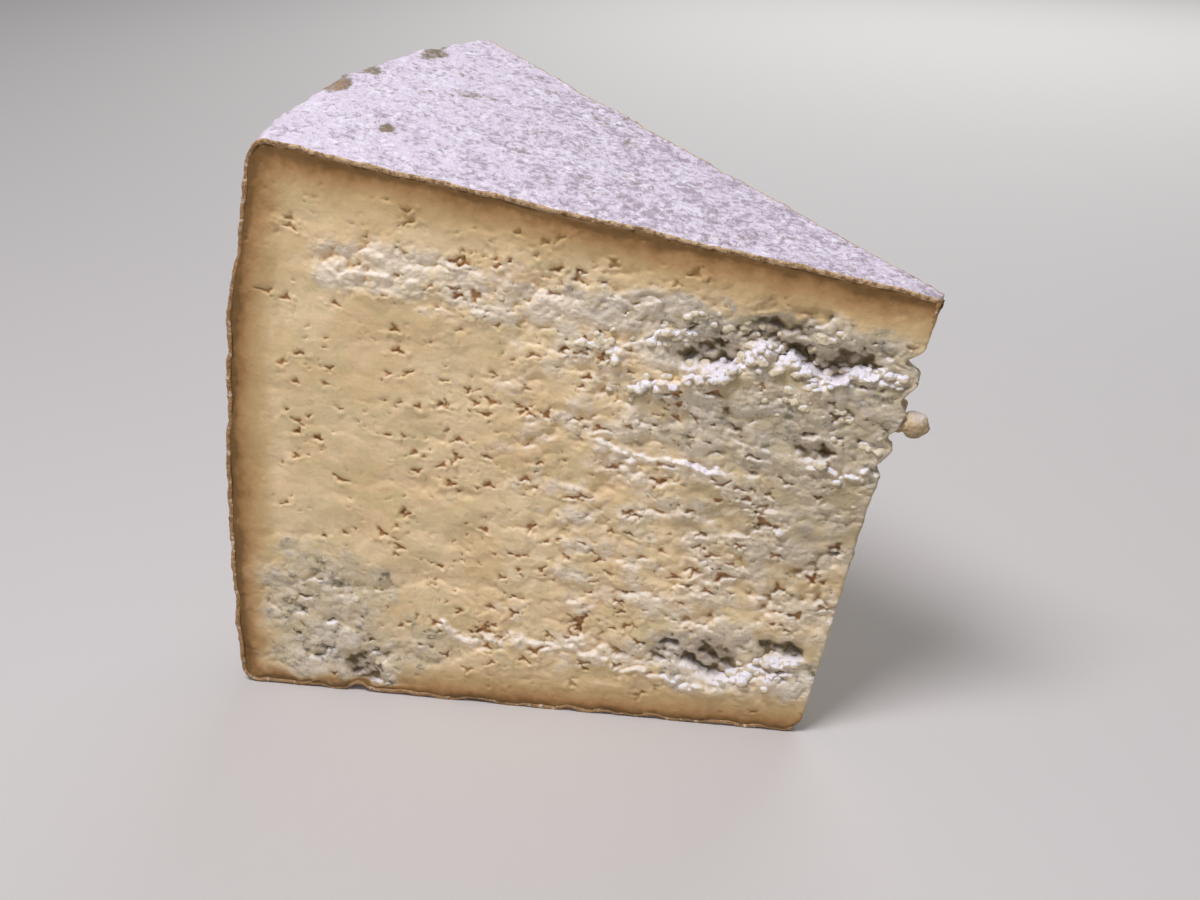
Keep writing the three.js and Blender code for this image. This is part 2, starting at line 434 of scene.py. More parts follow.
def pitPlaces(cut, zone, chance):
    # the cut's own pits and its random ones, which lie where the zone allows them
    pits = [(*pit, 1.0) for pit in cut["pits"]]
    for count, halfWidths, depth in pitShape["kinds"]:
        wanted = len(pits) + cut[count]
        while len(pits) < wanted:
            x, level = chance.uniform(-8, 122), chance.uniform(2, 112)
            pick, wide = chance.random(), chance.uniform(*halfWidths)
            flat, tilt = chance.uniform(*pitShape["flatness"]), chance.normal(*pitShape["tilt"])
            if pick < atPlace(zone, x, level):
                long = wide * chance.uniform(*pitShape["length"])
                pits.append((x, level, long, wide * flat, tilt, depth))
    return pits


def stampPits(cut, a, z, zone, height, pitMask):
    # digs each pit out of the sheet as a ragged hole with three arms, and raises the lip below it
    chance = np.random.default_rng(cut["seed"])
    pits = pitPlaces(cut, zone, chance)
    ragged = layered(a, 0 * a, z / 0.8, cut["seed"] + 40, 3, 0.7)
    for x, level, halfX, halfZ, tilt, strength in pits:
        halfX, halfZ = halfX * pitShape["shrink"][0], halfZ * pitShape["shrink"][1]
        turned = chance.uniform(0, math.pi)
        if noseX(level) - x < halfX + pitShape["noseGap"]:
            continue  # it would smear across the nose
        window = sheetWindow(x, level, 2.4 * max(halfX, halfZ) + 0.5)
        u, v = a[window] - x, z[window] - level
        cosine, sine = math.cos(math.radians(tilt)), math.sin(math.radians(tilt))
        along, above = (u * cosine + v * sine) / halfX, (v * cosine - u * sine) / halfZ
        arms = 0.5 + 0.75 * np.abs(np.cos(1.5 * np.arctan2(above, along) + turned)) ** 3
        away = np.hypot(along, above) / arms * (1 + pitShape["ragged"] * ragged[window])
        hole = smooth(1.15, 0.65, away)
        size = min(halfX, halfZ)
        lip = bell(away, 1.6, 0.45) * smooth(0.1, -0.9, above)
        height[window] += strength * ((0.12 + 0.35 * size) * lip - (0.3 + 0.75 * size) * hole)
        pitMask[window] = np.maximum(pitMask[window], hole * min(1.0, 0.5 + size))


relief = {
    "wander": 1.3,  # how far every shape is bent
    # widths and heights of the lumps of curd
    "plates": (8.0, 5.0),
    "curds": (2.8, 2.1),
    "bits": (1.4, 1.2),
    "popcorn": (2.3, 2.0),
    "plateHeight": 0.72,
    "bitHeight": 0.62,
    "popcornHeight": 1.15,
    "ledgeFall": (6.0, 3.5),  # a ledge fades out over this much below and above its line
    "ledgeWander": 1.2,
    "fineBlur": 0.07,
}


def cutRelief(cut):
    a, z = sheetPoints()
    seed = cut["seed"]
    flat = 0 * a
    wander = [relief["wander"] * layered(a / 6, flat, z / 6, seed + n) for n in (0, 5)]
    wa, wz = a + wander[0], z + wander[1]
    topEdge = wedge["rimHeight"] + (wedge["noseHeight"] - wedge["rimHeight"]) * a / wedge["noseTop"]
    inner = smooth(4, 13, topEdge - z) * smooth(3, 10, z) * smooth(-9, 4, a)  # away from the rind
    rough = smooth(cut["roughFrom"], cut["roughTo"], wa + 1.5 * wander[0])
    band = nearLine(cut["crumbBand"], wa, wz, 8.0, 6.0)
    mould = blobs(cut["mould"], wa + 2.5 * wander[0], wz + 2.5 * wander[1])
    hollow = blobs([(*h[:4], 1.0) for h in cut["hollows"]], wa, wz)
    digs = blobs(cut["hollows"], wa, wz)
    patchy = 0.75 + 0.9 * layered(a / 9, flat, z / 6, seed + 6, 2)
    crumbly = np.maximum(band * (0.5 + 0.5 * patchy), (0.1 + 0.9 * rough) * inner * patchy)
    crumbly = np.clip(np.maximum(crumbly, 0.88 * mould * smooth(0, 4, z)), 0, 1)

    # soft paste, then broken curd in three sizes: the finer ones lie mostly in the gaps of the larger
    pillows = np.abs(noise(wa / 6.5, flat, wz / 4.6, seed + 1))
    pillows = pillows + 0.5 * np.abs(noise(wa / 2.8, flat, wz / 2.2, seed + 2))
    height = 0.4 * noise(a / 16, flat, z / 11, seed + 4) + (0.16 + 0.4 * crumbly) * pillows
    ragA = wa + 0.45 * layered(a / 1.5, flat, z / 1.5, seed + 16, 2)
    ragZ = wz + 0.1 * wa + 0.4 * layered(a / 1.5, flat, z / 1.5, seed + 18, 2)
    plates, plateOwn = lumps(ragA, ragZ, *relief["plates"], seed + 8, 6, 0.5)
    curds, curdOwn = lumps(ragA, ragZ, *relief["curds"], seed + 14, 4, 0.4)
    bits = lumps(a + 0.5 * wander[0], z + 0.5 * wander[1], *relief["bits"], seed + 20, 2, 0.2)[0]
    popcorn = lumps(a, z, *relief["popcorn"], seed + 26, 2, 0.15)[0]
    plateGap, curdGap = smooth(0.1, -0.7, plates), smooth(0.1, -0.8, curds)
    broken = crumbly * (1 - 0.38 * band * (1 - hollow))
    height = height + (0.08 + relief["plateHeight"] * broken) * plates
    height = height + (0.05 + broken * (0.3 + 0.6 * plateGap)) * curds
    loose = crumbly * np.clip(0.3 + 0.5 * plateGap + 0.5 * curdGap, 0, 1)
    height = height + relief["bitHeight"] * loose * bits

    # ledges stand out below their line and sink above it; lumps lie on those that carry grains
    fallBelow, fallAbove = relief["ledgeFall"]
    ledgeMask, grainMask = flat, 0.9 * hollow
    for points, stand, grains in cut["ledges"]:
        start, end = points[0][0], points[-1][0]
        ends = smooth(start - 3.5, start + 1, a) * smooth(end + 3.5, end - 1, a)
        drop = wz - lineHeight(points, wa)
        drop = drop + relief["ledgeWander"] * layered(a / 2.8, flat, z / 2.4, seed + 30, 2, 0.6)
        below = smooth(0.35, -0.35, drop) * np.exp(np.minimum(drop, 0) / fallBelow)
        above = smooth(-0.35, 0.35, drop) * np.exp(-np.maximum(drop, 0) / fallAbove)
        uneven = 0.8 + 0.7 * noise(a / 4.5, flat, z / 9, seed + 33)
        height = height + ends * stand * uneven * (0.62 * below - 0.38 * above)
        onLedge = ends * smooth(2.6, 0.6, np.abs(drop + 0.6)) * min(1.0, stand / 1.6)
        ledgeMask = np.maximum(ledgeMask, onLedge)
        grainMask = np.maximum(grainMask, onLedge * min(1.0, 0.35 + 0.9 * grains))
    grainy = grainMask * smooth(6, 9, z)
    height = height + grainy * (relief["popcornHeight"] * popcorn + 0.4 * bits) - digs

    # pits lie mostly in the middle
    zone = np.clip(0.3 + 0.6 * smooth(5, 50, a) * inner, 0, 1) * smooth(-7, 4, a) * smooth(3, 8, topEdge - z)
    zone = zone * (1 - 0.4 * smooth(66, 92, a))
    pits = np.zeros(a.shape)
    stampPits(cut, a, z, zone, height, pits)
    height = height * smooth(-1.5, 3.0, z + 1.5)
    height = blurred(height, relief["fineBlur"])

    greying = smooth(cut["greyFrom"], cut["greyTo"], wa) * (0.5 + 0.5 * smooth(28, 54, wz))
    slopeZ, slopeA = np.gradient(blurred(height, 0.15), sheet["step"])
    facingUp = -slopeZ / np.sqrt(1 + slopeZ**2 + slopeA**2)
    return {
        "height": height,
        "pit": pits,
        # how far the surface faces up, for the painted highlight
        "upward": smooth(0.3, 0.8, facingUp),
        # low places, where the finish paints shade
        "sunken": smooth(0.1, 1.1, blurred(height, 1.6) - height),
        "mould": mould * (0.25 + 0.75 * smooth(0, 6, topEdge - z)),
        "hollow": hollow,
        "crumbly": np.clip(np.maximum(crumbly, ledgeMask), 0, 1),
        "greying": greying * smooth(6, 20, z) * smooth(4, 14, topEdge - z),
        "tone": blurred(0.55 * plateOwn + 0.45 * curdOwn, 0.15),
        "ledge": ledgeMask,
    }


# meshes

def boxLattice(steps):
    # the surface of a box as a lattice: each corner's shares out, across and up, and quads that face out
    nOut, nAcross, nUp = steps
    width = (nAcross + 1, nUp + 1)

    def side(fixedAxis, at, first, second):
        u, v = np.meshgrid(np.arange(steps[first] + 1), np.arange(steps[second] + 1), indexing="ij")
        index = [None, None, None]
        index[fixedAxis] = np.full(u.shape, at)
        index[first], index[second] = u, v
        ids = (index[0] * width[0] + index[1]) * width[1] + index[2]
        return np.stack([ids[:-1, :-1], ids[1:, :-1], ids[1:, 1:], ids[:-1, 1:]], -1).reshape(-1, 4)

    quads = np.concatenate(
        [
            side(1, 0, 2, 0),  # front
            side(1, nAcross, 0, 2),  # back
            side(2, nUp, 1, 0),  # top
            side(2, 0, 0, 1),  # base
            side(0, 0, 1, 2),  # nose
            side(0, nOut, 2, 1),  # rind
        ]
    )
    ids, compact = np.unique(quads, return_inverse=True)
    out = ids // (width[0] * width[1]) / nOut
    across = ids // width[1] % width[0] / nAcross
    up = ids % width[1] / nUp
    return out, across, up, compact.reshape(-1, 4)


def addMasks(data, masks):
    # named values at the points, which the finishes read
    for mask, values in masks.items():
        layer = data.attributes.new(mask, "FLOAT", "POINT")
        layer.data.foreach_set("value", values.astype(np.float32))


def meshFrom(name, points, faces, masks):
    # points in local millimetres, masks as named values at the points
    data = bpy.data.meshes.new(name)
    place = (points + corner) / 1000
    data.vertices.add(len(place))
    data.vertices.foreach_set("co", place.ravel())
    side = faces.shape[1]
    data.loops.add(faces.size)
    data.loops.foreach_set("vertex_index", faces.ravel().astype(np.int32))
    data.polygons.add(len(faces))
    data.polygons.foreach_set("loop_start", np.arange(0, faces.size, side, dtype=np.int32))
    data.update(calc_edges=True)
    addMasks(data, masks)
    data.shade_smooth()
    piece = bpy.data.objects.new(name, data)
    bpy.context.collection.objects.link(piece)
    return piece


def applied(piece):
    # the piece with its modifiers made real
    depsgraph = bpy.context.evaluated_depsgraph_get()
    shaped = bpy.data.meshes.new_from_object(piece.evaluated_get(depsgraph))
    piece.modifiers.clear()
    piece.data = shaped
    shaped.shade_smooth()


def triangleCount(piece):
    return sum(len(face.vertices) - 2 for face in piece.data.polygons)


def thinned(piece, triangles):
    now = triangleCount(piece)
    if now > triangles:
        piece.modifiers.new("thin", "DECIMATE").ratio = triangles / now
        applied(piece)
    print(piece.name, "made of", now, "triangles, of which it keeps", triangleCount(piece))


def unit(vectors):
    return vectors / np.maximum(np.linalg.norm(vectors, axis=-1, keepdims=True), 1e-9)


# the paste, made as a front half and a back half that overlap inside
paste = {
    "steps": (400, 9, 345),  # out, across and up
    "quickSteps": (300, 9, 260),
    "triangles": 197000,
    "quickTriangles": 170000,
    "sink": 0.85,  # how far the paste lies under the rind's outer face on top
    "sideSink": 0.62,
    "baseSink": 0.5,
    "reliefDepth": 4.5,  # a cut's relief dies out over this depth behind it
    # bites out of the nose's edge: height, depth and half-height
    "bites": [(79.2, 2.6, 1.5), (71.8, 0.9, 1.2), (64.2, 1.3, 1.6), (58.6, 1.2, 1.5), (48.0, 0.4, 9.0)],
    "bulges": [(75.6, 0.9, 2.0), (68.6, 0.7, 1.8), (61.4, 0.6, 1.4)],
    "noseReach": 6.0,
    "bandBlend": 1.8,  # how roundly the bands of two sides join
    # how the distance to the rind counts from the top, the side and the base: factor and extra millimetres
    "bandReach": [(0.86, 0.0), (0.88, 0.2), (1.0, 0.7)],
    "nick": (13.5, 2.2, 1.4),  # a nick in the front's bottom edge: place, half-width and height
}


def rindSwell(points):
    x, y, z = points.T
    return 0.5 * layered(x / 11, y / 11, z / 11, 31)


def edgeLift(x, y, z, nearCut):
    # the base's edges curl up a little from the ground
    nickAt, nickHalf, nickHeight = paste["nick"]
    lift = np.clip(0.3 + layered(x / 7, y / 7, 0 * z, 63), 0, 1) * smooth(5, 0, nearCut)
    return (lift + nickHeight * bell(x, nickAt, nickHalf) * smooth(4, 0, y)) * smooth(3, 0, z)


def pasteHalf(name, acrossFrom, acrossTo, front, back):
    out, share, up, quads = boxLattice(paste["steps"])
    across = acrossFrom + (acrossTo - acrossFrom) * share
    form = smoothForm(out, across, up)
    x, y, z = form.T

    # how deep each point lies behind each of the wedge's sides
    frontDepth, backDepth = y, behindBackCut(x, y, z)
    topDepth = np.where(up == 1, 0.0, topHeightAt(out, across) - z)
    sideDepth = rindRadiusAt(z) - np.hypot(x - wedge["wheelCentre"][0], y - wedge["wheelCentre"][1])
    along = alongBackCut(x, y, z)
    nearNose = smooth(paste["noseReach"], 0, noseX(z) - x)
    reach = paste["reliefDepth"] - 2.1 * nearNose
    toFront, toBack = smooth(reach, 0.4, frontDepth), smooth(reach, 0.4, backDepth)

    moved = np.zeros(form.shape)
    frontOut = onSheet(front["height"], x, z) * toFront
    backOut = onSheet(back["height"], along, z) * toBack
    moved[:, 0] += backOut * backLean[0]
    moved[:, 1] += backOut * backLean[1] - frontOut
    moved[:, 2] += sheet["lean"] * (frontOut + backOut)  # crests lean upwards
    for level, depth, half in paste["bites"]:
        moved[:, 0] -= depth * bell(z, level, half) * nearNose
    for level, depth, half in paste["bulges"]:
        moved[:, 0] += depth * bell(z, level, half) * nearNose
    moved[:, 0] += 0.8 * nearNose * noise(z / 2.4, y / 1.1, 0 * z, 91) * smooth(50, 62, z) * smooth(84, 78, z)
    moved[:, 0] += 0.25 * nearNose * layered(z / 3.4, y / 0.9, 0 * z, 95)

    # under the rind the paste lies a little in
    swell = rindSwell(form)
    toTop, toSide, toBase = smooth(3.0, 0.3, topDepth), smooth(3.0, 0.3, sideDepth), smooth(3.0, 0.3, z)
    moved[:, 2] += toTop * (swell - paste["sink"])
    outX = (x - wedge["wheelCentre"][0]) / wheelRadius
    outY = (y - wedge["wheelCentre"][1]) / wheelRadius
    sideOut = toSide * (1.5 * swell - paste["sideSink"])
    moved[:, 0] += outX * sideOut
    moved[:, 1] += outY * sideOut
    nearCut = np.minimum(frontDepth, backDepth)
    moved[:, 2] = moved[:, 2] * smooth(0, 4, z) + edgeLift(x, y, z, nearCut) + paste["baseSink"] * toBase
    points = form + moved

    # distance to the rind, growing into the paste
    nearRind = 0.0
    for depth, (factor, extra) in zip((topDepth, sideDepth, z), paste["bandReach"]):
        nearRind = nearRind + np.exp(-(factor * np.maximum(depth, 0) + extra) / paste["bandBlend"])
    masks = {"rindDepth": np.clip(-paste["bandBlend"] * np.log(nearRind), 0, 14)}
    for mask in ("pit", "upward", "sunken", "mould", "hollow", "crumbly", "greying", "tone", "ledge"):
        onFront, onBack = onSheet(front[mask], x, z), onSheet(back[mask], along, z)
        masks[mask] = np.maximum(onFront * toFront, onBack * toBack)
    piece = meshFrom(name, points, quads, masks)
    thinned(piece, paste["triangles"])
    return piece


# the rind: a closed shell over the top, the curved side and the base
rind = {
    "steps": (250, 210, 90, 100),  # along the top, down the side, back along the base, and across
    "quickSteps": (170, 140, 60, 70),
    "triangles": 190000,
    "quickTriangles": 100000,
    "thickness": 1.0,
    "thinner": 0.25,  # share of the thickness that the side and the base lack
    "tipWrap": 4.5,  # how far the rind comes down over the nose's tip
    "lipOut": 0.34,  # how far its cut edge stands out past the paste
    "lipRagged": 0.4,
    "wrapSteps": 9,  # down over the nose's tip
    "crowding": 0.11,  # how much finer the steps across are near both cuts
    # bare olive patches on the top: place and half-widths
    "barePatches": [
        (5.6, 32.5, 3.0, 6.5),
        (9.6, 43.5, 2.2, 4.2),
        (17.6, 63.5, 2.4, 9.0),
        (19.8, 16.3, 2.0, 2.0),
    ],
}


def cheeseRind():
    nTop, nSide, nBase, nAcross = rind["steps"]
    nWrap = rind["wrapSteps"]
    wrapUp = 1 - np.linspace(rind["tipWrap"], 0, nWrap, endpoint=False) / wedge["noseHeight"]
    outwards, downwards = np.linspace(0, 1, nTop, endpoint=False), np.linspace(1, 0, nSide, endpoint=False)
    out = np.concatenate([np.zeros(nWrap), outwards, np.ones(nSide), np.linspace(1, 0, nBase)])
    up = np.concatenate([wrapUp, np.ones(nTop), downwards, np.zeros(nBase)])
    even = np.linspace(0, 1, nAcross + 1)
    across = even - rind["crowding"] * np.sin(2 * math.pi * even)
    outs, acrosses = np.meshgrid(out, across, indexing="ij")
    ups = np.meshgrid(up, across, indexing="ij")[0]
    form = smoothForm(outs, acrosses, ups)
    x, y, z = np.moveaxis(form, -1, 0)

    # outward direction of the smooth face
    facing = unit(np.cross(np.gradient(form, axis=1), np.gradient(form, axis=0)))
    for again in range(2):
        facing[1:-1] = (facing[:-2] + facing[1:-1] * 2 + facing[2:]) / 4
    facing = unit(facing)

    frontDepth, backDepth = y, behindBackCut(x, y, z)
    nearCut = np.maximum(np.minimum(frontDepth, backDepth), 0)
    onSide = smooth(0.2, 0.8, np.hypot(facing[..., 0], facing[..., 1]))
    onBase = smooth(-0.5, -0.9, facing[..., 2])
    swell = rindSwell(form.reshape(-1, 3)).reshape(x.shape) * (1 + 0.5 * onSide) * (1 - onBase)
    wrinkles = layered(x / 3.2, y / 2.6, z / 2.6, 35, 4, 0.66)
    ridges = 0.5 - np.abs(layered(x / 4.2, y / 3.4, z / 3.4, 41, 3, 0.6))
    skin = 0.22 * wrinkles + 0.2 * ridges + onSide * (0.26 * wrinkles + 0.2 * ridges)
    skin = skin * (1 - 0.7 * onBase) * (0.4 + 0.6 * smooth(0, 2, nearCut))
    skin = np.where(skin < 0, skin / (1 - 2.2 * skin), skin)  # dents stay shallower than the rind is thick
    outer = form + facing * (swell + skin)[..., None]
    thickness = rind["thickness"] * (1 - rind["thinner"] * np.maximum(onSide, onBase))
    inner = form - facing * (thickness - swell)[..., None]
    for face in (outer, inner):
        face[..., 2] += edgeLift(x, y, z, nearCut)
    patchX = x + 1.6 * noise(x / 3, y / 3, z / 3, 51)
    patchY = y + 1.6 * noise(x / 3, y / 3, z / 3, 52)
    bare = np.zeros(x.shape)
    for spotX, spotY, halfX, halfY in rind["barePatches"]:
        away = np.hypot((patchX - spotX) / halfX, (patchY - spotY) / halfY)
        bare = np.maximum(bare, smooth(1.3, 0.6, away))
    bare = bare * smooth(100, 108, z)

    # the cut edges stand out past the paste, raggedly
    def ragged(column, seed):
        s = np.arange(len(out)) * 0.5
        wild = layered(s / 4, 0 * s + column, 0 * s, seed, 4, 0.8)
        calm = 1 - np.maximum(0.7 * onBase[:, 0], 0.3 * onSide[:, 0])
        return ((rind["lipOut"] + rind["lipRagged"] * wild) * calm)[:, None]

    widths = np.linalg.norm(form[:, -1] - form[:, 0], axis=-1)[:, None] * across[None, :]
    total = widths[:, -1:]
    frontPull = smooth(1.6, 0.0, widths) * (total > 1)
    backPull = smooth(1.6, 0.0, total - widths) * (total > 1)
    for face, frontOut, backOut in ((outer, ragged(0, 71), ragged(3, 73)), (inner, 0.1, 0.1)):
        face[..., 1] -= frontPull * frontOut
        for axis in (0, 1):
            face[..., axis] += backPull * backOut * backLean[axis]

    # round the shell: outer face, back edge, inner face and front edge
    def edgeRows(column, seed, away):
        rows = []
        for share in (1 / 3, 2 / 3):
            row = outer[:, column] * (1 - share) + inner[:, column] * share
            s = np.arange(len(row)) * 0.5
            bulge = 0.06 + 0.26 * layered(s / 1.8, 0 * s + share * 2, 0 * s, seed, 3, 0.8)
            bulge = bulge * (1 - 0.5 * onBase[:, 0])
            rows.append(row + bulge[:, None] * away)
        return rows

    backEdge = edgeRows(-1, 81, np.array([backLean[0], backLean[1], 0]))
    frontEdge = edgeRows(0, 85, np.array([0, -1, 0]))
    around = [outer[:, j] for j in range(nAcross + 1)] + backEdge
    around += [inner[:, j] for j in range(nAcross, -1, -1)] + frontEdge[::-1]
    around = np.stack(around, 1)
    rows, columns = around.shape[:2]
    ids = np.arange(rows * columns).reshape(rows, columns)
    turned = np.roll(ids, -1, axis=1)
    quads = np.stack([ids[:-1], turned[:-1], turned[1:], ids[1:]], -1).reshape(-1, 4)
    # close both ends, between the outer and the inner face
    ends = []
    for row, flip in ((0, False), (rows - 1, True)):
        outerIds = ids[row, : nAcross + 1]
        innerIds = ids[row, nAcross + 3 : 2 * nAcross + 4][::-1]
        backIds, frontIds = ids[row, nAcross + 1 : nAcross + 3], ids[row, -2:]
        cap = np.stack([outerIds[:-1], innerIds[:-1], innerIds[1:], outerIds[1:]], -1)
        backSide = [innerIds[-1], backIds[1], backIds[0], outerIds[-1]]
        frontSide = [outerIds[0], frontIds[1], frontIds[0], innerIds[0]]
        cap = np.concatenate([cap, np.array([backSide, frontSide])])
        ends.append(cap[:, ::-1] if flip else cap)
    quads = np.concatenate([quads] + ends)

    def allRound(values, edge):
        # the values for both faces, and the edge's for the columns between them
        rowsEdge = np.repeat(edge[:, None], 2, axis=1)
        return np.concatenate([values, rowsEdge, values[:, ::-1], rowsEdge], axis=1).ravel()

    ones = np.ones(rows)
    cutEdge = smooth(0.6, 0.0, np.minimum(widths, total - widths))
    masks = {
        "cutEdge": allRound(cutEdge, ones),
        "sideShare": allRound(onSide, onSide[:, 0]),
        "baseShare": allRound(onBase, onBase[:, 0]),
        "dent": allRound(smooth(0.12, -0.3, wrinkles * 0.5 + ridges * 0.5 - 0.1), 0 * ones),
        "bare": allRound(bare, 0 * ones),
        # rises from the rind's outer edge towards the nose, where the top is greyer
        "worn": allRound(smooth(0, 70, x + 14 * noise(x / 16, y / 16, z / 16, 58)), ones),
    }
    piece = meshFrom("cheeseRind", around.reshape(-1, 3), quads, masks)
    thinned(piece, rind["triangles"])
    return piece


# curd grains on the ledges, grown together, and the crumb that sticks to the nose
curd = {
    "radius": (0.6, 1.2),
    "spacing": 0.7,  # between grains along a ledge
    "lumpy": 0.26,
    "crumbLumpy": 0.16,
    "voxel": 0.22,
    "rough": 0.15,
    "triangles": 190000,
    # the crumb on the nose: lumps as place and half-widths
    "noseCrumb": [
        ((121.5, 1.3, 66.9), (2.6, 2.5, 2.5)),
        ((118.4, 1.2, 66.9), (2.2, 1.7, 1.5)),
    ],
}


def blobShape(detail):
    ball = bmesh.new()
    bmesh.ops.create_icosphere(ball, subdivisions=detail, radius=1.0)
    points = np.array([v.co[:] for v in ball.verts])
    faces = np.array([[v.index for v in f.verts] for f in ball.faces])
    ball.free()
    return points, faces


def grainPlaces(cut, sheets, chance):
    # where a cut's grains lie: along its ledges, in heaps, and loose ones on the crumbly paste
    places = []
    for points, stand, thick in cut["ledges"]:
        length = points[-1][0] - points[0][0]
        for grain in range(int(thick * length / curd["spacing"])):
            a = chance.uniform(points[0][0] - 1, points[-1][0] + 1)
            z = lineHeight(points, a) + chance.uniform(0, 1.4)
            z = z - 1.8 * min(abs(chance.normal(0, 1.0)), 1.5)
            places.append((a, z, chance.random() ** 1.4, chance.uniform(-0.4, 0.4)))
    for x, level, halfX, halfZ, count in cut["heaps"]:
        for grain in range(count):
            a, z = chance.normal(x, halfX * 0.55), chance.normal(level, halfZ * 0.55)
            places.append((a, z, chance.random() ** 1.4, chance.uniform(-0.7, 0.2)))
    loose = 0
    while loose < cut["looseGrains"]:
        a, z, pick = chance.uniform(0, 121), chance.uniform(3, 105), chance.uniform(0.35, 1.0)
        if pick < atPlace(sheets["crumbly"], a, z):
            places.append((a, z, chance.uniform(-0.15, 0.5), chance.uniform(-0.8, -0.2)))
            loose += 1
    places = np.array(places)
    return places[places[:, 0] < noseX(places[:, 1]) - 1.0]


def curdGrains(front, back):
    chance = np.random.default_rng(5)
    ball, ballFaces = blobShape(2)
    everyPoint, everyFace = [], []

    def add(centre, size, seed, lumpy, shape=ball, faces=ballFaces):
        bumps = layered(shape[:, 0] * 1.2, shape[:, 1] * 1.2, shape[:, 2] * 1.2, seed)
        started = sum(len(points) for points in everyPoint)
        everyPoint.append(shape * (1 + lumpy * bumps)[:, None] * size + centre)
        everyFace.append(faces + started)

    smallest, largest = curd["radius"]
    for cut, sheets in ((frontCut, front), (backCut, back)):
        proud = blurred(sheets["height"], 0.35)
        for number, (a, z, large, sunk) in enumerate(grainPlaces(cut, sheets, chance)):
            radius = smallest + (largest - smallest) * large
            out = atPlace(proud, a, z) + sunk * radius
            if cut is frontCut:
                centre = np.array([a, -out, z + sheet["lean"] * out])
            else:
                centre = onBackCut(a, z, out) + np.array([0, 0, sheet["lean"] * out])
            shape = np.array([chance.uniform(0.9, 1.2), 0.9, chance.uniform(0.8, 1.05)])
            add(centre, radius * shape, 100 + number, curd["lumpy"])
    roundBall, roundFaces = blobShape(3)
    for centre, size in curd["noseCrumb"]:
        add(np.array(centre), np.array(size), 7, curd["crumbLumpy"], roundBall, roundFaces)
    piece = meshFrom("curdGrains", np.concatenate(everyPoint), np.concatenate(everyFace), {})
    remesh = piece.modifiers.new("grow together", "REMESH")
    remesh.mode = "VOXEL"
    remesh.voxel_size = curd["voxel"] / 1000
    applied(piece)
    place = np.empty(len(piece.data.vertices) * 3)
    facing = np.empty(len(piece.data.vertices) * 3)
    piece.data.vertices.foreach_get("co", place)
    piece.data.vertex_normals.foreach_get("vector", facing)
    place, facing = place.reshape(-1, 3), facing.reshape(-1, 3)
    mm = place * 1000
    rough = curd["rough"] * layered(mm[:, 0] / 0.8, mm[:, 1] / 0.8, mm[:, 2] / 0.8, 201, 2) / 1000
    piece.data.vertices.foreach_set("co", (place + facing * rough[:, None]).ravel())
    piece.data.update()
    # how white the grains are: those of the ledges more than the others
    x, y, z = (mm - corner).T
    nearFront = smooth(6, 3, y)
    onFront = onSheet(front["ledge"], x, z) * nearFront
    onBack = onSheet(back["ledge"], alongBackCut(x, y, z), z) * (1 - nearFront)
    masks = {
        "white": np.maximum(onFront, onBack),
        # how far each point faces down, for the painted shade on the grains' undersides
        "under": smooth(0.1, -0.6, facing[:, 2]),
        # how far each point faces up, for the painted light on the grains' tops
        "upper": smooth(0.0, 0.8, facing[:, 2]),
        "tan": smooth(6.5, 5.0, np.linalg.norm(mm - corner - np.array(curd["noseCrumb"][0][0]), axis=1)),
    }
    addMasks(piece.data, masks)
    thinned(piece, curd["triangles"])
    return piece


# finishes

def colour(red, green, blue):
    # a screen colour, 0 to 255, as the shader wants it
    def straight(value):
        value = value / 255
        return value / 12.92 if value <= 0.04045 else ((value + 0.055) / 1.055) ** 2.4

    return (straight(red), straight(green), straight(blue), 1.0)


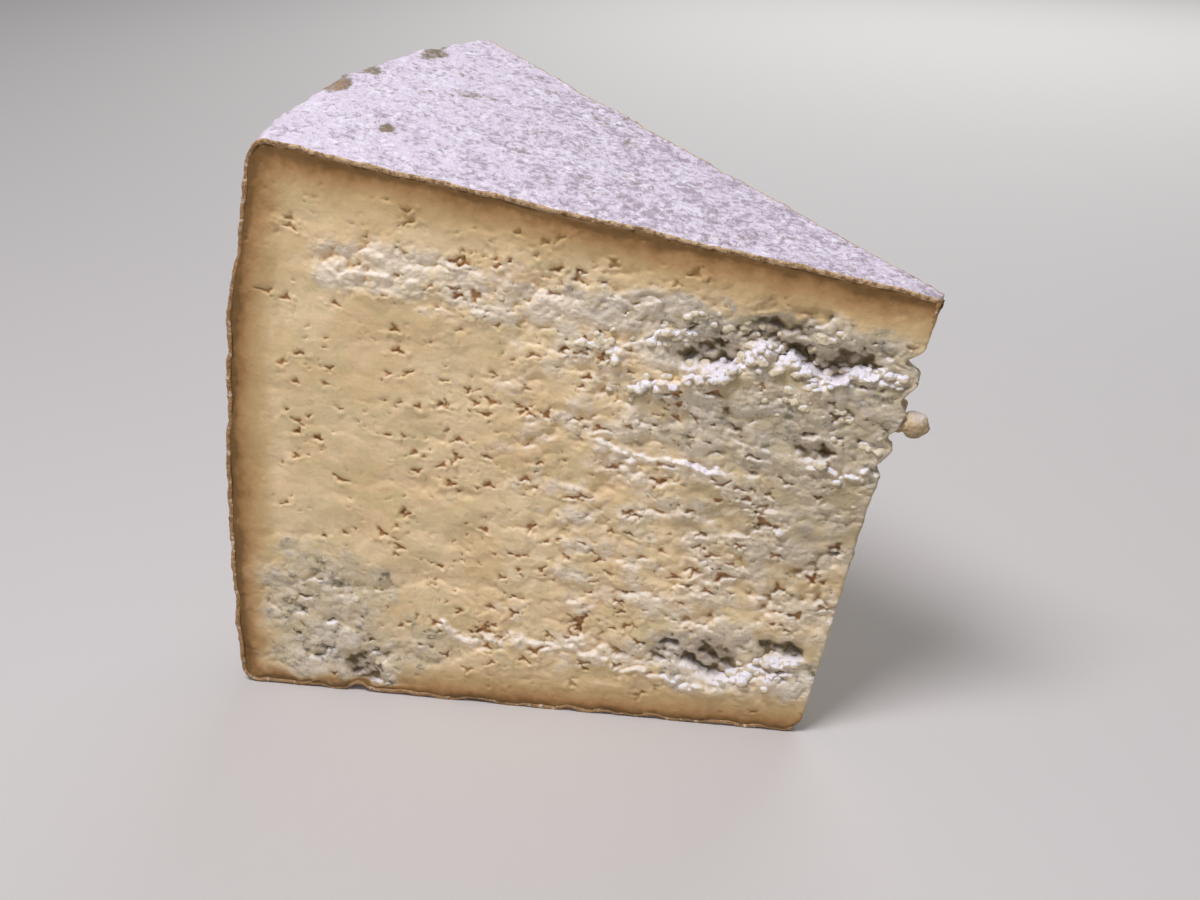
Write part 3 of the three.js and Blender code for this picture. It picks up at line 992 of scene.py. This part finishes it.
class Wire:
    # a socket that can be used in sums; each sum adds its node
    def __init__(self, nodes, socket):
        self.nodes = nodes
        self.socket = socket

    def made(self, kind, settings=None, inputs=None, output=0):
        node = self.nodes.nodes.new(kind)
        for name, value in (settings or {}).items():
            if name == "stops":
                fillRamp(node.color_ramp, value)
            else:
                setattr(node, name, value)
        for name, value in (inputs or {}).items():
            if isinstance(value, Wire):
                self.nodes.links.new(value.socket, node.inputs[name])
            else:
                node.inputs[name].default_value = value
        return Wire(self.nodes, node.outputs[output] if node.outputs else None)

    def maths(self, operation, *values):
        return self.made("ShaderNodeMath", {"operation": operation}, dict(enumerate(values)))

    def __add__(self, other):
        return self.maths("ADD", self, other)

    def __radd__(self, other):
        return self.maths("ADD", other, self)

    def __sub__(self, other):
        return self.maths("SUBTRACT", self, other)

    def __rsub__(self, other):
        return self.maths("SUBTRACT", other, self)

    def __mul__(self, other):
        return self.maths("MULTIPLY", self, other)

    def __rmul__(self, other):
        return self.maths("MULTIPLY", other, self)

    def __truediv__(self, other):
        return self.maths("DIVIDE", self, other)

    def __rtruediv__(self, other):
        return self.maths("DIVIDE", other, self)

    def most(self, other):
        return self.maths("MAXIMUM", self, other)

    def step(self, start, end):
        # 0 before start, 1 after end, smooth between them; start may be the larger
        low, high = (start, end) if start < end else (end, start)
        ends = (0.0, 1.0) if start < end else (1.0, 0.0)
        inputs = {0: self, 1: low, 2: high, 3: ends[0], 4: ends[1]}
        return self.made("ShaderNodeMapRange", {"interpolation_type": "SMOOTHSTEP"}, inputs)

    def ramp(self, stops):
        return self.made("ShaderNodeValToRGB", {"stops": stops}, {0: self})

    def mixed(self, first, second):
        # a colour between two, with this value as the share of the second
        inputs = {0: self, 6: first, 7: second}
        return self.made("ShaderNodeMix", {"data_type": "RGBA", "clamp_factor": True}, inputs, 2)

    def scaled(self, by):
        # a place, with each axis multiplied
        return self.made("ShaderNodeVectorMath", {"operation": "MULTIPLY"}, {0: self, 1: by})

    def cloud(self, size, detail=3.0, rough=0.5, bend=0.0):
        # noise about half of 1, with spots about this many millimetres wide; this is the place
        inputs = {"Vector": self, "Scale": 1 / size, "Detail": detail, "Roughness": rough, "Distortion": bend}
        return self.made("ShaderNodeTexNoise", {}, inputs)

    def wobble(self, strength, size, detail=3.0, rough=0.5, bend=0.0):
        # such noise about 0 instead, this strong
        return (self.cloud(size, detail, rough, bend) - 0.5) * strength

    def spots(self, size):
        # distance to the nearest of many scattered points
        inputs = {"Vector": self, "Scale": 1 / size}
        return self.made("ShaderNodeTexVoronoi", {"feature": "F1"}, inputs, "Distance")

    def mask(self, name):
        return self.made("ShaderNodeAttribute", {"attribute_name": name}, {}, "Fac")


def fillRamp(ramp, stops):
    while len(ramp.elements) > 1:
        ramp.elements.remove(ramp.elements[-1])
    ramp.elements[0].position = stops[0][0]
    ramp.elements[0].color = stops[0][1]
    for position, shade in stops[1:]:
        ramp.elements.new(position).color = shade


def newFinish(name):
    material = bpy.data.materials.new(name)
    material.use_nodes = True
    shader = material.node_tree.nodes["Principled BSDF"]
    start = Wire(material.node_tree, None)
    place = start.made("ShaderNodeTexCoord", {}, {}, "Object").scaled((1000, 1000, 1000))
    return material, shader, place


def plug(shader, name, wire):
    wire.nodes.links.new(wire.socket, shader.inputs[name])


def bumped(shader, height, millimetres):
    inputs = {"Strength": 1.0, "Distance": millimetres / 1000, "Height": height}
    plug(shader, "Normal", height.made("ShaderNodeBump", {}, inputs))


def milky(shader, weight):
    # light goes a little way into cheese
    shader.inputs["Subsurface Weight"].default_value = weight
    shader.inputs["Subsurface Radius"].default_value = (0.0026, 0.0016, 0.0008)
    shader.inputs["Subsurface Scale"].default_value = 1.0


pasteLook = {
    "cream": colour(238, 213, 168),
    "butter": colour(228, 199, 150),
    "olive": colour(212, 193, 146),
    "pink": colour(242, 212, 172),
    "greyPaste": colour(204, 186, 146),
    # the paste's grey towards the nose
    "greyTowardsNose": colour(181, 163, 127),
    # white and powder also serve as painted highlight on curd that faces up
    "white": colour(246, 237, 226),
    "powder": colour(252, 247, 255),
    "paleCurd": colour(241, 229, 212),
    # painted shade in the low places between curds
    "creaseShade": colour(182, 148, 100),
    "brown": colour(178, 124, 74),
    "mouldGrey": colour(201, 187, 157),
    "mouldBlue": colour(177, 170, 172),
    "stroke": colour(116, 110, 90),
    # dark mould, and painted shade deep in hollows and low places
    "darkMouldAndShade": colour(110, 93, 60),
}


def pasteColour(place):
    crumbly, mould, hollow = place.mask("crumbly"), place.mask("mould"), place.mask("hollow")
    upward, sunken, greying = place.mask("upward"), place.mask("sunken"), place.mask("greying")
    ledge = place.mask("ledge")
    # sound paste, cream to butter, with olive and pinkish curds
    shade = place.cloud(14, 2).step(0.36, 0.64).mixed(pasteLook["cream"], pasteLook["butter"])
    tone = place.mask("tone") + place.wobble(1.2, 3.0, 3, 0.6, 0.8)
    shade = (tone.step(0.55, 0.75) * 0.45).mixed(shade, pasteLook["olive"])
    shade = (tone.step(0.42, 0.22) * 0.36).mixed(shade, pasteLook["pink"])
    fine = place.scaled((0.7, 0.7, 1)).cloud(1.0, 4, 0.65)
    shade = (fine.step(0.4, 0.75) * 0.25).mixed(shade, pasteLook["greyPaste"])
    # greyer and darker towards the nose and higher up the face
    greyTowardsNose = (greying * 0.9 + place.wobble(1.6, 6, 4, 0.6)).step(0.15, 0.75)
    shade = (greyTowardsNose * 0.85).mixed(shade, pasteLook["greyTowardsNose"])
    # mould: grey ground, bluish blotches, dark strokes, and the darkest hollows and low places, dark mould
    # with painted shade
    ground = (mould * 1.2 + place.wobble(1.2, 5, 4, 0.6)).step(0.15, 0.7)
    shade = (ground * 0.75).mixed(shade, pasteLook["mouldGrey"])
    blotch = place.cloud(3.2, 4, 0.6, 0.4).step(0.54, 0.66) * mould.step(0.1, 0.6)
    shade = (blotch * 0.5).mixed(shade, pasteLook["mouldBlue"])
    speckle = place.scaled((1, 1, 1.4)).cloud(1.7, 5, 0.62, 0.5) + place.wobble(0.8, 5)
    speckle = speckle + sunken * 0.12 + mould * 0.22 - hollow * 0.14
    stroke = speckle.step(0.68, 0.84) * mould.step(0.05, 0.4)
    shade = (stroke * 0.84).mixed(shade, pasteLook["stroke"])
    deep = sunken * (mould * 0.9 + hollow * 0.4) + hollow * 0.62 + place.wobble(0.9, 1.4, 4, 0.6)
    shade = (deep.step(0.2, 0.9) * 0.8).mixed(shade, pasteLook["darkMouldAndShade"])
    # painted shade: brown in the low places between curds; pale curds on the crumbly paste, kept out of the
    # low places
    creaseShade = (sunken * (1 - mould) + place.wobble(0.5, 1.1)).step(0.45, 1.0)
    shade = (creaseShade * 0.45).mixed(shade, pasteLook["creaseShade"])
    pale = (crumbly * (1 - sunken) + place.wobble(1.6, 2.4, 4, 0.6)).step(0.35, 0.95)
    shade = (pale * (0.65 - greying * 0.38)).mixed(shade, pasteLook["paleCurd"])
    # white where broken curd faces up: partly whiter broken curd, partly a painted highlight from the light
    # above; powdery and lavender-white where it is mouldy, on ledges and in hollows, and less inside the
    # hollows
    broken = (upward * (crumbly * 1.05 + 0.4) + place.wobble(0.6, 0.9)).step(0.3, 0.9)
    broken = broken * (1 - hollow * (1 - ledge) * 0.75)
    powder = (ledge * 0.55 + hollow * 0.6 + mould * 0.7 + place.wobble(1, 4)).step(0.3, 0.9)
    white = powder.mixed(pasteLook["white"], pasteLook["powder"])
    shade = (broken * (0.56 + powder * 0.3)).mixed(shade, white)
    # pits are brown, or dark where it is mouldy
    pit = (place.mask("pit") + place.wobble(0.5, 0.6)).step(0.3, 0.8) * (1 - broken)
    pitShade = mould.most(greying * 0.5).step(0.2, 0.9).mixed(pasteLook["brown"], pasteLook["darkMouldAndShade"])
    return (pit * 0.72).mixed(shade, pitShade), broken, fine


bandLook = {
    "stops": [
        (0.0, colour(116, 84, 42)),
        (0.11, colour(126, 93, 50)),
        (0.17, colour(152, 113, 66)),
        (0.27, colour(180, 140, 92)),
        (0.38, colour(193, 159, 110)),
        (0.53, colour(207, 178, 129)),
        (0.72, colour(222, 195, 150)),
    ],
    "reach": 8.0,  # millimetres that the stops span
    "closeness": 0.66,  # below 1, the band is wider
}


def bandColour(place, shade):
    # the brown band under the rind, fading into the paste
    depth = place.mask("rindDepth") * bandLook["closeness"]
    depth = depth + place.wobble(2.8, 13, 2) + place.wobble(2.2, 2.2, 4, 0.6)
    band = (depth / bandLook["reach"]).ramp(bandLook["stops"])
    strength = depth.step(7.0, 4.0) * (1 - place.mask("mould").step(0.1, 0.7) * depth.step(0.6, 2.0))
    return strength.mixed(shade, band)


def pasteFinish():
    material, shader, place = newFinish("cheesePaste")
    shade, broken, fine = pasteColour(place)
    plug(shader, "Base Color", bandColour(place, shade))
    plug(shader, "Roughness", 0.55 + broken * 0.2 + fine * 0.1)
    crumbly = place.mask("crumbly")
    grain = place.cloud(0.8, 5, 0.62)
    curds = place.scaled((0.8, 0.8, 1.1)).spots(0.9)
    bumped(shader, grain * (0.3 + crumbly * 0.35) + (1 - curds) * crumbly * 0.45, 0.45)
    milky(shader, 0.12)
    shader.inputs["Specular IOR Level"].default_value = 0.35
    return material


rindLook = {
    "powder": colour(237, 225, 238),
    "white": colour(254, 249, 255),
    "shade": colour(175, 160, 170),
    "olive": colour(140, 130, 98),
    "bare": colour(128, 116, 80),
    "rust": colour(184, 136, 90),
    "sidePowder": colour(216, 202, 192),
    "sideTan": colour(176, 152, 120),
    "cutEdge": colour(224, 192, 152),
    "cutDark": colour(166, 130, 90),
    "cutOlive": colour(116, 98, 64),
    "sideEdge": colour(172, 134, 92),
    "flake": colour(240, 222, 200),
}


def rindFinish():
    material, shader, place = newFinish("cheeseRind")
    side, base, dent = place.mask("sideShare"), place.mask("baseShare"), place.mask("dent")
    lower = side.most(base)
    # lavender powder, greyer in the dents and towards the nose, tan on the side and the base, with white
    # clumps
    fine = place.cloud(1.3, 5, 0.64, 0.5)
    worn = place.mask("worn") * 0.1 - 0.08
    grey = (fine + place.wobble(0.6, 5, 4, 0.65) + dent * 0.06 + worn).step(0.42, 0.68)
    shade = (grey * 0.88).mixed(rindLook["powder"], rindLook["shade"])
    tan = (place.cloud(9, 5, 0.65) + place.wobble(0.5, 1.5, 4, 0.7)).step(0.42, 0.62) * lower
    shade = (lower * 0.4).mixed(shade, rindLook["sidePowder"])
    shade = (tan * 0.7).mixed(shade, rindLook["sideTan"])
    clumps = (place.cloud(1.7, 5, 0.66, 0.4) + place.wobble(0.3, 7)).step(0.53, 0.64)
    shade = (clumps * (0.78 - tan * 0.35)).mixed(shade, rindLook["white"])
    specks = (place.cloud(1.3, 4, 0.7) + place.wobble(0.4, 14, 2) + worn * 0.4).step(0.62, 0.7)
    shade = (specks * 0.6).mixed(shade, rindLook["olive"])
    # bare patches, olive to rust
    ragged = place.wobble(0.7, 1.3, 5, 0.72)
    bare = (place.cloud(12, 3, 0.55) + ragged * 0.5 + side * 0.08 + base * 0.05).step(0.64, 0.78)
    bare = bare.most((place.mask("bare") + ragged * 2.6).step(0.3, 1.1))
    rust = (place.mask("bare") * bare + ragged + place.wobble(1.2, 4, 2)).step(1.0, 1.3)
    shade = (bare * 0.9).mixed(shade, rust.mixed(rindLook["bare"], rindLook["rust"]))
    # the cut edge
    edge = (place.mask("cutEdge") + place.wobble(0.9, 0.8)).step(0.35, 0.7)
    edgeShade = place.cloud(1.1, 4, 0.6).step(0.45, 0.62).mixed(rindLook["cutEdge"], rindLook["cutDark"])
    edgeShade = (lower * 0.8).mixed(edgeShade, rindLook["sideEdge"])
    flakes = place.cloud(1.7, 5, 0.7).step(0.56, 0.63) * lower
    edgeShade = (flakes * 0.8).mixed(edgeShade, rindLook["flake"])
    stains = place.cloud(1.3, 5, 0.7).step(0.56, 0.66)
    edgeShade = (stains * 0.75).mixed(edgeShade, rindLook["cutOlive"])
    plug(shader, "Base Color", edge.mixed(shade, edgeShade))
    plug(shader, "Roughness", 0.8 + fine * 0.15)
    bumped(shader, fine + place.cloud(0.6, 3) * 0.4, 0.8)
    milky(shader, 0.05)
    shader.inputs["Specular IOR Level"].default_value = 0.2
    return material


curdLook = {
    # the ledge grains' own white, and painted light on the tops that face up
    "white": colour(248, 242, 248),
    "cream": colour(232, 216, 184),
    "grey": colour(172, 162, 138),
    # painted shade on the grains' undersides
    "olive": colour(140, 126, 92),
    "tan": colour(196, 168, 126),
}


def curdFinish():
    material, shader, place = newFinish("curdGrain")
    upper, under, white = place.mask("upper"), place.mask("under"), place.mask("white")
    # whiter where the grains face up, a painted light, and on the ledges, their own white; the tan crumb and
    # the grey stains keep off the lit tops
    whiteGrainsAndTopLight = (upper * 0.6 + white * 0.5 + place.wobble(1.4, 2.4, 4, 0.6)).step(0.35, 0.85)
    shade = whiteGrainsAndTopLight.mixed(curdLook["cream"], curdLook["white"])
    shade = (place.mask("tan") * (0.9 - upper * 0.5)).mixed(shade, curdLook["tan"])
    stain = place.cloud(1.4, 5, 0.65).step(0.54, 0.66) * (1 - upper * 0.6)
    shade = (stain * 0.6).mixed(shade, curdLook["grey"])
    # painted shade: olive on the undersides that face down
    shade = ((under + place.wobble(0.8, 0.9)).step(0.3, 0.9) * 0.6).mixed(shade, curdLook["olive"])
    plug(shader, "Base Color", shade)
    plug(shader, "Roughness", 0.6 + place.cloud(2, 2) * 0.2)
    bumped(shader, place.cloud(0.5, 4), 0.4)
    milky(shader, 0.12)
    return material


frontRelief, backRelief = cutRelief(frontCut), cutRelief(backCut)
print("relief of both cuts worked out")
pasteMaterial = pasteFinish()
frontPaste = pasteHalf("frontPaste", 0.0, 0.56, frontRelief, backRelief)
backPaste = pasteHalf("backPaste", 0.44, 1.0, frontRelief, backRelief)
rindPiece = cheeseRind()
grainPiece = curdGrains(frontRelief, backRelief)
frontPaste.data.materials.append(pasteMaterial)
backPaste.data.materials.append(pasteMaterial)
rindPiece.data.materials.append(rindFinish())
grainPiece.data.materials.append(curdFinish())
for piece in (frontPaste, backPaste, rindPiece):
    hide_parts("cheese_wedge")
for piece in (frontPaste, backPaste, rindPiece, grainPiece):
    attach(piece, "root")
print("pieces made")

# stage, lights and camera
studio = {
    "floor": colour(206, 202, 198),
    "floorSize": 4.0,
    "sky": (0.92, 0.94, 1.0, 1),
    "skyStrength": 0.22,
    # lights: name, place, target, size, power and tint
    "lights": [
        ("key", (-0.15, -0.36, 0.80), (0, 0, 0.06), (0.36, 0.26), 5.9, (0.96, 0.94, 1.0)),
        ("back", (0.1, 0.75, 0.36), (0, 0, 0.06), (0.6, 0.4), 2.5, (0.96, 0.97, 1.0)),
        ("frontFill", (-0.25, -0.9, 0.35), (0, 0, 0.05), (0.7, 0.5), 0.4, (1.0, 0.95, 0.87)),
    ],
}


def areaLight(name, place, target, size, power, tint):
    data = bpy.data.lights.new(name, "AREA")
    data.shape = "RECTANGLE"
    data.size, data.size_y = size
    data.energy = power
    data.color = tint
    lamp = bpy.data.objects.new(name, data)
    lamp.location = place
    lamp.rotation_euler = (Vector(target) - Vector(place)).to_track_quat("-Z", "Y").to_euler()
    bpy.context.collection.objects.link(lamp)


def makeStage():
    half = studio["floorSize"] / 2
    floorMesh = bpy.data.meshes.new("floor")
    corners = [(-half, -half, 0), (half, -half, 0), (half, half, 0), (-half, half, 0)]
    floorMesh.from_pydata(corners, [], [(0, 1, 2, 3)])
    floor = bpy.data.objects.new("floor", floorMesh)
    bpy.context.collection.objects.link(floor)
    material, shader = newFinish("paleFloor")[:2]
    shader.inputs["Base Color"].default_value = studio["floor"]
    shader.inputs["Roughness"].default_value = 0.8
    floorMesh.materials.append(material)
    world = bpy.data.worlds.new("studio")
    world.use_nodes = True
    world.node_tree.nodes["Background"].inputs[0].default_value = studio["sky"]
    world.node_tree.nodes["Background"].inputs[1].default_value = studio["skyStrength"]
    bpy.context.scene.world = world
    bpy.context.scene.view_settings.view_transform = "Standard"
    for light in studio["lights"]:
        areaLight(*light)


cameraSpot = {
    "from": (120.9, -321.2, 203.1),  # local millimetres
    "heading": math.radians(10.11),  # turned from straight back towards the rind
    "down": math.radians(24.0),
    "lens": 57.0,
    "sensor": 36.0,
    "clip": (0.01, 20),  # metres
}


def makeCamera():
    data = bpy.data.cameras.new("camera")
    data.lens = cameraSpot["lens"]
    data.sensor_width = cameraSpot["sensor"]
    data.clip_start, data.clip_end = cameraSpot["clip"]
    camera = bpy.data.objects.new("camera", data)
    camera.location = (np.array(cameraSpot["from"]) + corner) / 1000
    camera.rotation_euler = (math.radians(90) - cameraSpot["down"], 0, cameraSpot["heading"])
    bpy.context.collection.objects.link(camera)
    bpy.context.scene.camera = camera


makeStage()
makeCamera()
print("stage and camera made")
